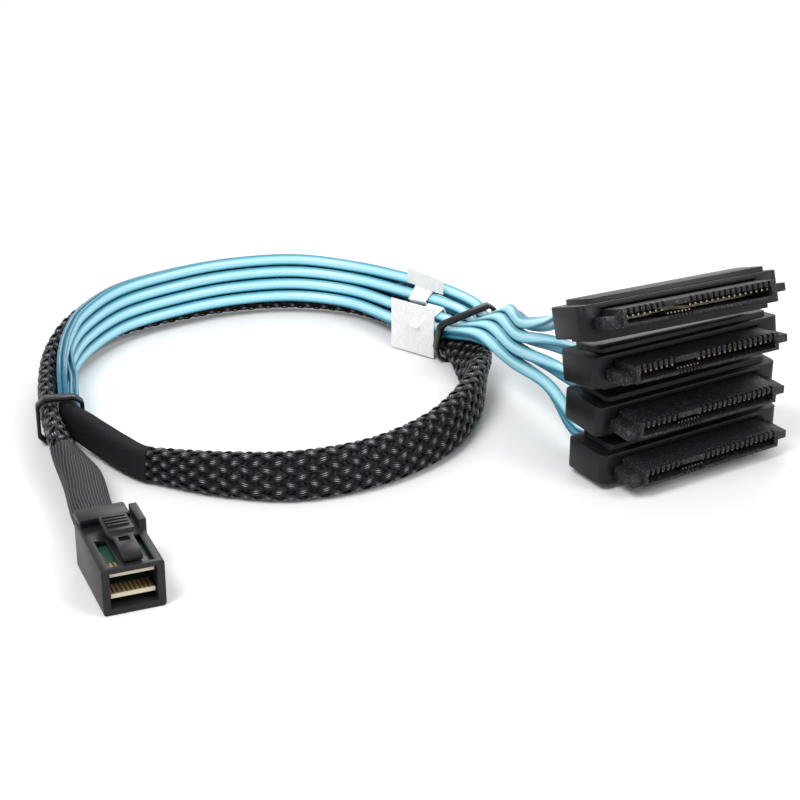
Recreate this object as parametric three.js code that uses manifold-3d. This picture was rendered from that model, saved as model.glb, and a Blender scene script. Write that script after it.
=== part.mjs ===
import * as THREE from 'three';
import * as BufferGeometryUtils from 'three/addons/utils/BufferGeometryUtils.js';
import Module from 'manifold-3d';

const wasm = await Module();
wasm.setup();

// Millimetres, Z up, Y away from the viewer, the floor at Z = 0.

// Clearance between neighbouring pieces
const clearance = 0.3;

// Host plug
const plugFrontCentre = [-56.5, -39.3];
const plugYaw = 22.3;
const plugWidth = 11.4;
const plugLength = 19.4;
const plugHeight = 9.1;
const plugSideWall = 1.4;
const plugFloorWall = 1.2;
const plugRoofWall = 1.0;
const plugMouthDepth = 16.6;
const plugCornerRound = 0.5;
const roofSlotWidth = 2.0;
const roofSlotStart = 1.0;
const roofSlotEnd = 11.0;
const cardWidth = 8.0;
const cardThickness = 0.8;
const cardFront = 1.0;
const cardRear = 16.0;
const upperCardBottom = 7.0;
const lowerCardBottom = 2.8;
const spacerFront = 10.0;
const coverLeft = -5.4;
const coverRight = 4.1;
const coverFront = 16.4;
const coverHeight = 1.4;
const cheekThickness = 1.5;
const cheekFront = 12.6;
const cheekTop = 11.0;
const reliefLength = 1.3;
const reliefWidth = 9.0;
const reliefHeight = 6.4;

// Latch lever on top of the plug
const leverShift = 0.4;
const leverFootWidth = 3.6;
const leverPadWidth = 5.1;
const leverPadFront = 9.4;
const leverPadRear = 15.9;
const padRibs = 4;
const padRibPitch = 1.1;
const padRibHeight = 0.35;
const springWidth = 2.4;
const springThickness = 0.25;

// Cable trunk: x, y, z, outward tilt in degrees, width, thickness
const trunkRows = [
    [-64.70, -19.34, 4.60, 90, 8.0, 5.4],
    [-68.00, -10.80, 4.60, 90, 8.0, 5.4],
    [-71.60, 1.80, 4.70, 80, 8.0, 5.2],
    [-75.60, 11.60, 4.90, 45, 8.0, 5.0],
    [-79.40, 20.40, 5.20, 10, 8.2, 4.3],
    [-82.20, 28.50, 5.30, 0, 8.0, 3.6],
    [-85.00, 41.20, 5.00, 0, 9.2, 4.0],
    [-86.50, 57.00, 5.05, 0, 9.8, 4.0],
    [-84.30, 71.90, 5.40, 5, 10.6, 4.0],
    [-77.20, 85.30, 5.85, 10, 11.4, 4.0],
    [-64.80, 95.50, 5.90, 15, 11.7, 3.9],
    [-50.90, 102.60, 5.80, 20, 11.8, 3.8],
    [-35.00, 105.20, 5.70, 25, 11.8, 3.8],
    [-19.40, 101.20, 5.40, 30, 11.6, 3.8],
    [-6.60, 90.40, 4.80, 45, 11.2, 3.9],
    [0.60, 79.60, 4.75, 62, 10.8, 4.0],
    [5.00, 69.50, 4.00, 76, 10.2, 4.2],
    [6.30, 59.50, 3.80, 50, 9.1, 4.4],
    [6.30, 49.00, 4.80, 6, 9.3, 4.9],
    [3.90, 36.00, 5.15, -10, 10.1, 5.0],
    [-2.90, 21.60, 5.10, -16, 10.1, 5.0],
    [-14.70, 10.00, 5.00, -16, 9.9, 5.0],
    [-29.90, 3.80, 5.00, -16, 9.9, 5.0],
    [-44.80, 5.40, 4.55, -12, 8.9, 5.0],
    [-56.90, 10.00, 3.85, -6, 7.4, 4.9],
    [-61.50, 11.90, 3.75, 0, 7.0, 4.6],
    [-65.90, 16.00, 3.95, 0, 7.2, 4.6],
    [-69.60, 20.00, 4.20, 0, 7.3, 4.4],
    [-74.20, 24.80, 4.80, 0, 7.4, 3.9],
    [-78.60, 29.35, 5.30, 0, 7.4, 3.3],
    [-79.25, 32.70, 5.30, 0, 7.4, 3.6]
];
const trunkSides = 12;
const trunkStep = 5.2;
const plugTapeEnd = 3.0;
const sleeveEnd = 24.48;
const trunkEnd = 30;
const leftTieStation = 5.0;
const rightTieStation = 15.66;

// Flat ribbons, two to a lead, on the inner face of the sleeve
const ribbonWidth = 2.6;
const ribbonThickness = 0.9;
const ribbonPitch = 1.15;
const ribbonStep = 5.4;
const ribbonFromSleeve = 0.4;
const labelExtraGap = 0.5;
const fanSpread = 1.35;

// Trunk station, heights of leads 1 to 4 along the tilt, column shift of leads 2 and 4
const leadRows = [
    [5.42, 1.45, 1.45, -1.45, -1.45, 2.3, 0],
    [5.75, 3.60, 1.70, -1.20, -2.30, 2.3, 0],
    [6.15, 5.30, 2.40, -0.50, -3.40, 2.3, 0],
    [6.60, 5.50, 2.60, -0.30, -3.20, 1.3, 0],
    [7.20, 5.95, 3.05, 0.15, -2.75, 0.0, 0],
    [8.00, 6.15, 3.25, 0.35, -2.55, 0.0, 0],
    [9.00, 6.05, 3.15, 0.25, -2.65, 0.0, 0],
    [10.00, 5.95, 3.05, 0.15, -2.75, 0.0, 0],
    [11.00, 5.85, 2.95, 0.05, -2.85, 0.0, 0],
    [12.00, 5.65, 2.75, -0.15, -3.05, 0.0, 0],
    [13.00, 5.15, 2.25, -0.65, -3.55, 0.0, 0],
    [14.00, 5.75, 2.30, -1.55, -4.90, 0.0, 1],
    [14.50, 6.25, 2.80, -1.20, -4.65, 0.0, 1],
    [15.00, 6.85, 3.40, -0.60, -4.05, 0.0, 1],
    [15.35, 7.25, 3.85, -0.15, -3.55, 0.0, 1],
    [15.70, 6.90, 3.95, 1.00, -1.95, 0.0, 0]
];

// Fan: middle of the four leads and the direction in which they are stacked
const fanStacks = [
    { middle: [11.2, 64.9, 11.7], stack: [0.72, 0.44, 0.53], pitch: 2.9 },
    { middle: [15.7, 51.5, 13.0], stack: [0.25, 0.20, 0.947], pitch: 2.9 }
];
const fanPoints = [
    [20.8, 37.0, 23.3],
    [21.0, 37.0, 19.0],
    [21.2, 37.0, 14.0],
    [21.3, 37.0, 8.9]
];
const fanWide = [0.75, 0.25, 0.60];

// Drive connectors: front left bottom corner, yaw and nose-up pitch
const connectorRows = [
    { corner: [24.6, 2.3, 34.2], yaw: 26.1, pitch: 20.6 },
    { corner: [27.6, 6.1, 22.1], yaw: 29.6, pitch: 10.6 },
    { corner: [28.7, 8.7, 10.6], yaw: 31.4, pitch: -1.6 },
    { corner: [29.8, 6.3, 1.3], yaw: 32.3, pitch: 0 }
];
const bodyStart = -0.3;
const bodyEnd = 45.2;
const bodyDepth = 11.7;
const bodyHeight = 6.3;
const bodyRound = 1.5;
const panelHeight = 1.0;
const panelSetBack = 1.7;
const panelInset = 3.0;
const panelEndInset = 1.8;
const tongueLeft = 4.7;
const tongueLength = 34.6;
const tongueReach = 7.0;
const tongueBottom = 1.4;
const tongueHeight = 3.55;
const tongueRoot = 2.0;
const slotInset = 0.95;
const slotBottom = 2.0;
const slotHeight = 1.8;
const windowWidth = 0.5;
const windowDepth = 1.0;
const contactPitch = 1.27;
const firstContact = 1.425;
const powerStart = 13.97;
const signalContacts = 7;
const powerContacts = 15;
const lowerContacts = 7;
const lowerPitch = 0.8;
const lowerStart = 8.85;
const railWidth = 2.3;
const railHeight = 2.3;
const earWidth = 2.8;
const earHeight = 1.6;
const earLift = 1.0;
const bossLeft = 4.5;
const bossWidth = 6.5;
const bossReach = 1.6;
const bossInset = 1.1;
const bladeThickness = 0.35;
const boardFront = -0.8;
const boardRear = 1.7;
const bladeFront = -6.2;

// Labels on leads 2 and 3: one stands up, one hangs down
const paper = 0.3;
const paperGap = 0.3;
const upperCollarFrom = 14.05;
const upperCollarTo = 14.5;
const upperFlagLength = 11.5;
const upperFlagTop = 15.4;
const flagLift = 2.4;
const lowerCollarFrom = 14.66;
const lowerCollarTo = 15.08;
const lowerFlagStart = [-12.0, 79.5];
const lowerFlagEnd = [-2.4, 72.3];
const lowerFlagBottom = 0.3;
const lowerFlagTop = 12.3;
const flagStandOff = 0.55;
const stripRun = 3.6;
const stripEnd = -6.2;

// Ties
const tieWall = 0.75;
const tieBand = 2.3;

// Colours
const colours = {
    plastic: 0x1d1d20,
    plasticGrey: 0x2b2c30,
    braid: 0x26262b,
    cloth: 0x232326,
    tie: 0x111114,
    ribbon: 0x7cc9e0,
    paper: 0xf2f2f0,
    board: 0x2f5a3a,
    metal: 0xb9b4a6,
    contacts: 0xa9a6a0
};

const up = new THREE.Vector3(0, 0, 1);

function vector(values) {
    return new THREE.Vector3(values[0], values[1], values[2]);
}

// Smooth curve through rows of numbers, one row to a whole station
function smoothRow(rows, station) {
    const last = rows.length - 1;
    const index = Math.min(Math.max(Math.floor(station), 0), last - 1);
    const t = station - index;
    const b = rows[index];
    const c = rows[index + 1];
    const a = index > 0 ? rows[index - 1] : b.map((value, i) => 2 * value - c[i]);
    const d = index + 2 <= last ? rows[index + 2] : c.map((value, i) => 2 * value - b[i]);
    return b.map((value, i) => {
        const startSlope = (c[i] - a[i]) / 2;
        const endSlope = (d[i] - value) / 2;
        const cubic = 2 * value - 2 * c[i] + startSlope + endSlope;
        const square = -3 * value + 3 * c[i] - 2 * startSlope - endSlope;
        return ((cubic * t + square) * t + startSlope) * t + value;
    });
}

// Route rows: x, y, z, then the direction of the wide side, then width and thickness
function frameOn(rows, station) {
    const row = smoothRow(rows, station);
    const before = vector(smoothRow(rows, station - 0.02));
    const after = vector(smoothRow(rows, station + 0.02));
    const along = after.sub(before).normalize();
    const wide = vector(row.slice(3, 6));
    wide.addScaledVector(along, -wide.dot(along)).normalize();
    const thin = new THREE.Vector3().crossVectors(wide, along);
    return { point: vector(row), along, wide, thin, width: row[6], thickness: row[7] };
}

// Stations from one end of a stretch to the other at even steps of length
function evenStations(rows, from, to, step) {
    const fine = 400;
    const lengths = [0];
    let previous = vector(smoothRow(rows, from));
    for (let i = 1; i <= fine; i += 1) {
        const point = vector(smoothRow(rows, from + (to - from) * i / fine));
        lengths.push(lengths[i - 1] + point.distanceTo(previous));
        previous = point;
    }
    const count = Math.max(2, Math.round(lengths[fine] / step));
    const stations = [from];
    let i = 0;
    for (let k = 1; k < count; k += 1) {
        const wanted = lengths[fine] * k / count;
        while (lengths[i + 1] < wanted) {
            i += 1;
        }
        const part = (wanted - lengths[i]) / (lengths[i + 1] - lengths[i]);
        stations.push(from + (to - from) * (i + part) / fine);
    }
    stations.push(to);
    return stations;
}

function outlineShape(points) {
    return new THREE.Shape(points.map((point) => new THREE.Vector2(point[0], point[1])));
}

// Straight extrusion of an outline bent onto a stretch of a route
function bendAlong(outline, rows, stations, scaled, offset) {
    const steps = stations.length - 1;
    const geometry = new THREE.ExtrudeGeometry(outlineShape(outline), {
        depth: 1,
        steps,
        bevelEnabled: false
    });
    const frames = stations.map((station) => frameOn(rows, station));
    const position = geometry.getAttribute('position');
    for (let i = 0; i < position.count; i += 1) {
        const frame = frames[Math.round(position.getZ(i) * steps)];
        const wide = position.getX(i) * (scaled ? frame.width : 1);
        const thin = (scaled ? position.getY(i) : offset) * frame.thickness
            + (scaled ? 0 : position.getY(i));
        const point = frame.point.clone();
        point.addScaledVector(frame.wide, wide).addScaledVector(frame.thin, thin);
        position.setXYZ(i, point.x, point.y, point.z);
    }
    return outward(geometry);
}

function signedVolume(geometry) {
    const flat = geometry.index ? geometry.toNonIndexed() : geometry;
    const position = flat.getAttribute('position');
    let sum = 0;
    for (let i = 0; i < position.count; i += 3) {
        const a = new THREE.Vector3().fromBufferAttribute(position, i);
        const b = new THREE.Vector3().fromBufferAttribute(position, i + 1);
        const c = new THREE.Vector3().fromBufferAttribute(position, i + 2);
        sum += a.dot(b.cross(c));
    }
    return sum;
}

// Shared vertices merged and the faces turned outwards
function outward(geometry) {
    const bare = geometry.index ? geometry.toNonIndexed() : geometry.clone();
    bare.deleteAttribute('normal');
    bare.deleteAttribute('uv');
    const merged = BufferGeometryUtils.mergeVertices(bare, 1e-4);
    if (signedVolume(merged) < 0) {
        const index = merged.index;
        for (let i = 0; i < index.count; i += 3) {
            const first = index.getX(i);
            index.setX(i, index.getX(i + 1));
            index.setX(i + 1, first);
        }
    }
    return merged;
}

function solid(geometry) {
    const closed = outward(geometry);
    return new wasm.Manifold(new wasm.Mesh({
        numProp: 3,
        vertProperties: new Float32Array(closed.getAttribute('position').array),
        triVerts: new Uint32Array(closed.index.array)
    }));
}

function geometryOf(manifold) {
    const mesh = manifold.getMesh();
    const geometry = new THREE.BufferGeometry();
    geometry.setAttribute('position', new THREE.BufferAttribute(mesh.vertProperties, 3));
    geometry.setIndex(new THREE.BufferAttribute(mesh.triVerts, 1));
    return geometry;
}

function box(x0, x1, y0, y1, z0, z1) {
    const geometry = new THREE.BoxGeometry(x1 - x0, y1 - y0, z1 - z0);
    geometry.translate((x0 + x1) / 2, (y0 + y1) / 2, (z0 + z1) / 2);
    return geometry;
}

function roundedOutline(x0, x1, y0, y1, radius, steps) {
    const points = [];
    const corners = [[x1, y1, 0], [x0, y1, 90], [x0, y0, 180], [x1, y0, 270]];
    for (const [x, y, start] of corners) {
        const cx = x + (x === x1 ? -radius : radius);
        const cy = y + (y === y1 ? -radius : radius);
        for (let i = 0; i <= steps; i += 1) {
            const angle = THREE.MathUtils.degToRad(start + 90 * i / steps);
            points.push([cx + radius * Math.cos(angle), cy + radius * Math.sin(angle)]);
        }
    }
    return points;
}

// Outline in X and Z pushed along Y
function alongY(points, y0, y1) {
    const geometry = new THREE.ExtrudeGeometry(outlineShape(points), {
        depth: y1 - y0,
        bevelEnabled: false
    });
    geometry.rotateX(Math.PI / 2);
    geometry.translate(0, y1, 0);
    return geometry;
}

// Outline in Y and Z pushed along X
function alongX(points, x0, x1) {
    const geometry = new THREE.ExtrudeGeometry(outlineShape(points), {
        depth: x1 - x0,
        bevelEnabled: false
    });
    geometry.rotateY(Math.PI / 2);
    geometry.rotateX(Math.PI / 2);
    geometry.translate(x0, 0, 0);
    return geometry;
}

// Outline in X and Y pushed up along Z
function alongZ(points, z0, z1) {
    const geometry = new THREE.ExtrudeGeometry(outlineShape(points), {
        depth: z1 - z0,
        bevelEnabled: false
    });
    geometry.translate(0, 0, z0);
    return geometry;
}

const cable = new THREE.Group();

function addPiece(parent, name, geometry, colour, roughness, metalness) {
    const material = new THREE.MeshStandardMaterial({ color: colour, roughness, metalness });
    const mesh = new THREE.Mesh(geometry, material);
    mesh.name = name;
    parent.add(mesh);
}

// Host plug, seen from its open front
const plug = new THREE.Group();
plug.position.set(plugFrontCentre[0], plugFrontCentre[1], 0);
plug.rotation.z = THREE.MathUtils.degToRad(plugYaw);
cable.add(plug);

const halfPlug = plugWidth / 2;
const mouthHalf = halfPlug - plugSideWall;
const roofBottom = plugHeight - plugRoofWall;
const reliefMiddle = 4.6;

function plugShell() {
    const outline = roundedOutline(-halfPlug, halfPlug, 0, plugHeight, plugCornerRound, 2);
    let body = solid(alongY(outline, 0, plugLength));
    body = body.subtract(solid(box(
        -mouthHalf, mouthHalf, -1, plugMouthDepth, plugFloorWall, roofBottom
    )));
    const slotOuter = mouthHalf - 0.2;
    for (const side of [-1, 1]) {
        const inner = side * (slotOuter - roofSlotWidth);
        const outer = side * slotOuter;
        body = body.subtract(solid(box(
            Math.min(inner, outer), Math.max(inner, outer),
            roofSlotStart, roofSlotEnd, roofBottom - 1, plugHeight + 1
        )));
    }
    const cableHole = [reliefMiddle - 1.6, reliefMiddle + 1.6];
    body = body.subtract(solid(box(
        -3, 3, plugMouthDepth - 1, plugLength + 1, cableHole[0], cableHole[1]
    )));
    const cheekRight = halfPlug + 0.3;
    body = body.add(solid(box(
        cheekRight - cheekThickness, cheekRight, cheekFront, plugLength, 4.0, cheekTop
    )));
    return geometryOf(body);
}

addPiece(plug, 'plug_shell', plugShell(), colours.plasticGrey, 0.55, 0);

const coverBottom = plugHeight + clearance;
const coverRear = plugLength + clearance + reliefLength;
const coverOutline = roundedOutline(
    coverLeft, coverRight, coverBottom, coverBottom + coverHeight, 0.4, 2
);
addPiece(
    plug, 'plug_cover', outward(alongY(coverOutline, coverFront, coverRear)),
    colours.plastic, 0.5, 0
);

addPiece(plug, 'paddle_card_upper', outward(box(
    -cardWidth / 2, cardWidth / 2, cardFront, cardRear,
    upperCardBottom, upperCardBottom + cardThickness
)), colours.board, 0.5, 0);
addPiece(plug, 'paddle_card_lower', outward(box(
    -cardWidth / 2, cardWidth / 2, cardFront, cardRear,
    lowerCardBottom, lowerCardBottom + cardThickness
)), colours.board, 0.5, 0);
addPiece(plug, 'card_spacer', outward(box(
    -cardWidth / 2, cardWidth / 2, spacerFront, cardRear,
    lowerCardBottom + cardThickness + clearance, upperCardBottom - clearance
)), colours.plastic, 0.6, 0);

const reliefOutline = roundedOutline(
    -reliefWidth / 2, reliefWidth / 2,
    reliefMiddle - reliefHeight / 2, reliefMiddle + reliefHeight / 2, 1.2, 2
);
addPiece(plug, 'strain_relief', outward(alongY(
    reliefOutline, plugLength + clearance, plugLength + clearance + reliefLength
)), colours.plastic, 0.7, 0);

// Latch lever: foot at the front, neck, then the ribbed thumb pad
const footBottom = plugHeight + clearance;
const neckBottom = footBottom + 0.7;
const neckTop = neckBottom + 0.8;
const padBottom = footBottom + 1.1;
const padTop = padBottom + 1.0;
const footFront = 1.2;
const footRear = 3.2;
const neckRear = leverPadFront - 0.8;

function latchLever() {
    const profile = [
        [footFront, footBottom], [footRear, footBottom], [footRear + 0.6, neckBottom],
        [neckRear, neckBottom], [leverPadFront, padBottom], [leverPadRear, padBottom],
        [leverPadRear, padTop - 0.3], [leverPadRear - 0.3, padTop],
        [leverPadFront, padTop], [neckRear, neckTop],
        [footRear, neckTop], [footFront, neckTop - 0.7]
    ];
    const half = leverPadWidth / 2;
    const side = solid(alongX(profile, leverShift - half, leverShift + half));
    const foot = leverFootWidth / 2;
    const plan = solid(alongZ([
        [leverShift - foot, footFront - 1], [leverShift + foot, footFront - 1],
        [leverShift + foot, neckRear - 1], [leverShift + half, leverPadFront],
        [leverShift + half, leverPadRear + 1], [leverShift - half, leverPadRear + 1],
        [leverShift - half, leverPadFront], [leverShift - foot, neckRear - 1]
    ], footBottom - 1, padTop + 1));
    let lever = side.intersect(plan);
    for (let i = 0; i < padRibs; i += 1) {
        const y = leverPadFront + 1.6 + i * padRibPitch;
        lever = lever.add(solid(box(
            leverShift - half + 0.5, leverShift + half - 0.5,
            y - 0.25, y + 0.25, padTop - 0.2, padTop + padRibHeight
        )));
    }
    const windowHalf = 1.0;
    return geometryOf(lever.subtract(solid(box(
        leverShift - windowHalf, leverShift + windowHalf, 6.2, 7.8, neckBottom - 1, neckTop + 1
    ))));
}

addPiece(plug, 'latch_lever', latchLever(), colours.plastic, 0.5, 0);
addPiece(plug, 'latch_spring', outward(box(
    leverShift - springWidth / 2, leverShift + springWidth / 2,
    footRear + 1.4, neckRear - 0.2,
    neckBottom - clearance - springThickness, neckBottom - clearance
)), colours.metal, 0.35, 1);

// Trunk of the cable
const trunkFrames = trunkRows.map((row, i) => {
    const before = trunkRows[Math.max(i - 1, 0)];
    const after = trunkRows[Math.min(i + 1, trunkRows.length - 1)];
    const along = new THREE.Vector3(after[0] - before[0], after[1] - before[1], 0).normalize();
    const outside = new THREE.Vector3().crossVectors(up, along);
    const tilt = THREE.MathUtils.degToRad(row[3]);
    const wide = outside.multiplyScalar(Math.sin(tilt)).addScaledVector(up, Math.cos(tilt));
    return [row[0], row[1], row[2], wide.x, wide.y, wide.z, row[4], row[5]];
});

function ovalOutline(sides, fullness) {
    const points = [];
    for (let i = 0; i < sides; i += 1) {
        const angle = 2 * Math.PI * (i + 0.5) / sides;
        const c = Math.cos(angle);
        const s = Math.sin(angle);
        const reach = 0.5 / Math.cos(Math.PI / sides) ** fullness;
        points.push([
            reach * Math.sign(c) * Math.abs(c) ** fullness,
            reach * Math.sign(s) * Math.abs(s) ** fullness
        ]);
    }
    return points;
}

const trunkOutline = ovalOutline(trunkSides, 0.66);

function trunkStretch(from, to) {
    const stations = evenStations(trunkFrames, from, to, trunkStep);
    return bendAlong(trunkOutline, trunkFrames, stations, true, 0);
}

function stationsPerMillimetre(station) {
    const a = vector(smoothRow(trunkFrames, station - 0.05));
    const b = vector(smoothRow(trunkFrames, station + 0.05));
    return 0.1 / a.distanceTo(b);
}

const firstJoint = clearance * stationsPerMillimetre(plugTapeEnd);
const secondJoint = clearance * stationsPerMillimetre(sleeveEnd);
addPiece(
    cable, 'cloth_tape_plug_end', trunkStretch(0, plugTapeEnd),
    colours.cloth, 0.85, 0
);
addPiece(
    cable, 'braided_sleeve', trunkStretch(plugTapeEnd + firstJoint, sleeveEnd),
    colours.braid, 0.6, 0
);
addPiece(
    cable, 'cloth_tape_breakout_end', trunkStretch(sleeveEnd + secondJoint, trunkEnd),
    colours.cloth, 0.9, 0
);

// Drive connectors
const connectorFrames = connectorRows.map((row) => {
    const group = new THREE.Group();
    group.position.set(row.corner[0], row.corner[1], row.corner[2]);
    group.rotation.order = 'ZYX';
    group.rotation.z = THREE.MathUtils.degToRad(row.yaw);
    group.rotation.x = -THREE.MathUtils.degToRad(row.pitch);
    group.updateMatrixWorld(true);
    cable.add(group);
    return group;
});

function driveHousing() {
    const plan = roundedOutline(bodyStart, bodyEnd, 0, bodyDepth, bodyRound, 3);
    let body = solid(alongZ(plan, 0, bodyHeight));
    const panel = roundedOutline(
        panelInset, bodyEnd - panelEndInset, panelSetBack, bodyDepth - 0.6, 0.8, 2
    );
    body = body.add(solid(alongZ(panel, -panelHeight, bodyHeight + panelHeight)));
    body = body.add(solid(box(
        bossLeft, bossLeft + bossWidth, bodyDepth - 0.5, bodyDepth + bossReach,
        bossInset, bodyHeight - bossInset
    )));
    return geometryOf(body.subtract(solid(box(
        tongueLeft - clearance, tongueLeft + tongueLength + clearance,
        -1, tongueRoot + clearance,
        tongueBottom - clearance, tongueBottom + tongueHeight + clearance
    ))));
}

// Contacts stand only where the slot in the tongue reaches
function contactPlaces() {
    const lastPlace = tongueLeft + tongueLength - slotInset - clearance;
    const places = [];
    for (let i = 0; i < signalContacts; i += 1) {
        places.push(tongueLeft + firstContact + i * contactPitch);
    }
    for (let i = 0; i < powerContacts; i += 1) {
        places.push(tongueLeft + firstContact + powerStart + i * contactPitch);
    }
    return places.filter((x) => x < lastPlace);
}

function lowerPlaces() {
    const places = [];
    for (let i = 0; i < lowerContacts; i += 1) {
        places.push(tongueLeft + firstContact + lowerStart + i * lowerPitch);
    }
    return places;
}

function driveReceptacle() {
    const right = tongueLeft + tongueLength;
    const top = tongueBottom + tongueHeight;
    let body = solid(box(tongueLeft, right, -tongueReach, tongueRoot, tongueBottom, top));
    body = body.subtract(solid(box(
        tongueLeft + slotInset, right - slotInset, -tongueReach - 1, tongueRoot + 1,
        slotBottom, slotBottom + slotHeight
    )));
    const cuts = [];
    for (const x of contactPlaces()) {
        cuts.push([x, slotBottom + slotHeight - 0.3, top + 1, windowWidth]);
    }
    for (const x of lowerPlaces()) {
        cuts.push([x, tongueBottom - 1, slotBottom + 0.3, 0.4]);
    }
    for (const [x, low, high, width] of cuts) {
        body = body.subtract(solid(box(
            x - width / 2, x + width / 2, -tongueReach - 1, -tongueReach + windowDepth,
            low, high
        )));
    }
    const railTop = tongueBottom + railHeight;
    const railRight = tongueLeft + 0.2;
    const railLeft = tongueLeft - railWidth;
    body = body.add(solid(alongX([
        [-tongueReach + 0.8, tongueBottom], [-clearance, tongueBottom],
        [-clearance, railTop], [-tongueReach + 2.2, railTop],
        [-tongueReach + 0.8, railTop - 1.1]
    ], railLeft, railRight)));
    body = body.add(solid(box(
        right - 0.2, right + earWidth, -tongueReach + 0.8, -clearance,
        tongueBottom + earLift, tongueBottom + earLift + earHeight
    )));
    return geometryOf(body);
}

function contactBoard() {
    const low = slotBottom + clearance;
    const high = slotBottom + slotHeight - clearance;
    const left = tongueLeft + slotInset + clearance;
    const right = tongueLeft + tongueLength - slotInset - clearance;
    let board = solid(box(left, right, boardFront, boardRear, low, high));
    const half = windowWidth / 2 - 0.05;
    for (const x of contactPlaces()) {
        const start = Math.max(x - half, left);
        board = board.add(solid(box(
            start, x + half, bladeFront, boardFront + 0.3, high - bladeThickness, high
        )));
    }
    for (const x of lowerPlaces()) {
        board = board.add(solid(box(
            x - 0.15, x + 0.15, bladeFront, boardFront + 0.3, low, low + 0.3
        )));
    }
    return geometryOf(board);
}

connectorFrames.forEach((group, i) => {
    const number = i + 1;
    addPiece(group, `drive_housing_${number}`, driveHousing(), colours.plastic, 0.4, 0);
    addPiece(group, `drive_receptacle_${number}`, driveReceptacle(), colours.plasticGrey, 0.6, 0);
    addPiece(group, `contact_board_${number}`, contactBoard(), colours.contacts, 0.4, 0.6);
});

// Four leads from the tape to the drive connectors
function leadRoute(lead) {
    const rows = leadRows.map((row) => {
        const frame = frameOn(trunkFrames, row[0]);
        const labelled = row[6] * labelExtraGap;
        const shifted = lead % 2 === 1 ? row[5] : 0;
        const inward = frame.thickness / 2 + ribbonFromSleeve + labelled
            + ribbonThickness / 2 + ribbonPitch / 2 + shifted;
        const point = frame.point.clone();
        point.addScaledVector(frame.wide, row[1 + lead]);
        point.addScaledVector(frame.thin, -inward);
        return [point.x, point.y, point.z, frame.wide.x, frame.wide.y, frame.wide.z, 1, 1];
    });
    for (const stack of fanStacks) {
        const direction = vector(stack.stack).normalize();
        const point = vector(stack.middle).addScaledVector(direction, (1.5 - lead) * stack.pitch);
        rows.push([
            point.x, point.y, point.z, direction.x, direction.y, direction.z, 1, fanSpread
        ]);
    }
    rows.push([...fanPoints[lead], ...fanWide, 1, fanSpread]);
    const group = connectorFrames[lead];
    const side = new THREE.Vector3().setFromMatrixColumn(group.matrixWorld, 0);
    const bossMiddle = bossLeft + bossWidth / 2;
    const bossEnd = bodyDepth + bossReach + clearance;
    for (const reach of [bossEnd + 6, bossEnd]) {
        const point = new THREE.Vector3(bossMiddle, reach, bodyHeight / 2);
        point.applyMatrix4(group.matrixWorld);
        rows.push([point.x, point.y, point.z, side.x, side.y, side.z, 1, fanSpread]);
    }
    return rows;
}

const corner = ribbonThickness * 0.3;
const halfWide = ribbonWidth / 2;
const halfThin = ribbonThickness / 2;
const ribbonOutline = [
    [halfWide, halfThin - corner], [halfWide - corner, halfThin],
    [corner - halfWide, halfThin], [-halfWide, halfThin - corner],
    [-halfWide, corner - halfThin], [corner - halfWide, -halfThin],
    [halfWide - corner, -halfThin], [halfWide, corner - halfThin]
];
const leadRoutes = [0, 1, 2, 3].map(leadRoute);

leadRoutes.forEach((rows, lead) => {
    const stations = evenStations(rows, 0, rows.length - 1, ribbonStep);
    for (const [letter, side] of [['a', 1], ['b', -1]]) {
        addPiece(
            cable, `ribbon_${lead + 1}${letter}`,
            bendAlong(ribbonOutline, rows, stations, false, side * ribbonPitch / 2),
            colours.ribbon, 0.35, 0
        );
    }
});

// Labels: a collar folded around one lead and a flat flag
const labelSteps = 4;

// Station on a lead's own route that lies beside a station of the trunk
function leadStation(station) {
    for (let i = 0; i + 1 < leadRows.length; i += 1) {
        if (station <= leadRows[i + 1][0]) {
            return i + (station - leadRows[i][0]) / (leadRows[i + 1][0] - leadRows[i][0]);
        }
    }
    return leadRows.length - 1;
}

function paperCollar(lead, from, to) {
    const rows = leadRoutes[lead];
    const stations = [];
    for (let i = 0; i <= labelSteps; i += 1) {
        stations.push(leadStation(from + (to - from) * i / labelSteps));
    }
    const wide = ribbonWidth / 2 + paperGap;
    const thin = (ribbonPitch + ribbonThickness) / 2 + paperGap;
    const outside = solid(bendAlong([
        [-wide - paper, -thin - paper], [wide + paper, -thin - paper],
        [wide + paper, thin + paper], [-wide - paper, thin + paper]
    ], rows, stations, false, 0));
    const beyond = [stations[0] - 0.2, ...stations.slice(1, -1), stations[labelSteps] + 0.2];
    const inside = solid(bendAlong([
        [-wide, -thin], [wide, -thin], [wide, thin], [-wide, thin]
    ], rows, beyond, false, 0));
    return { outside, inside, frame: frameOn(rows, (stations[0] + stations[labelSteps]) / 2), thin };
}

// Upright sheet of paper over a line in the plan
function uprightSheet(start, end, bottom, top) {
    const length = Math.hypot(end[0] - start[0], end[1] - start[1]);
    const geometry = new THREE.BoxGeometry(length, paper, top - bottom);
    geometry.rotateZ(Math.atan2(end[1] - start[1], end[0] - start[0]));
    geometry.translate((start[0] + end[0]) / 2, (start[1] + end[1]) / 2, (bottom + top) / 2);
    return geometry;
}

// Box given along the wide side, the thin side and the run of a route
function boxInFrame(frame, wide0, wide1, thin0, thin1, run) {
    const geometry = box(wide0, wide1, thin0, thin1, -run / 2, run / 2);
    const matrix = new THREE.Matrix4().makeBasis(
        frame.wide, frame.thin, frame.along.clone().negate()
    );
    matrix.setPosition(frame.point);
    geometry.applyMatrix4(matrix);
    return geometry;
}

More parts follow.
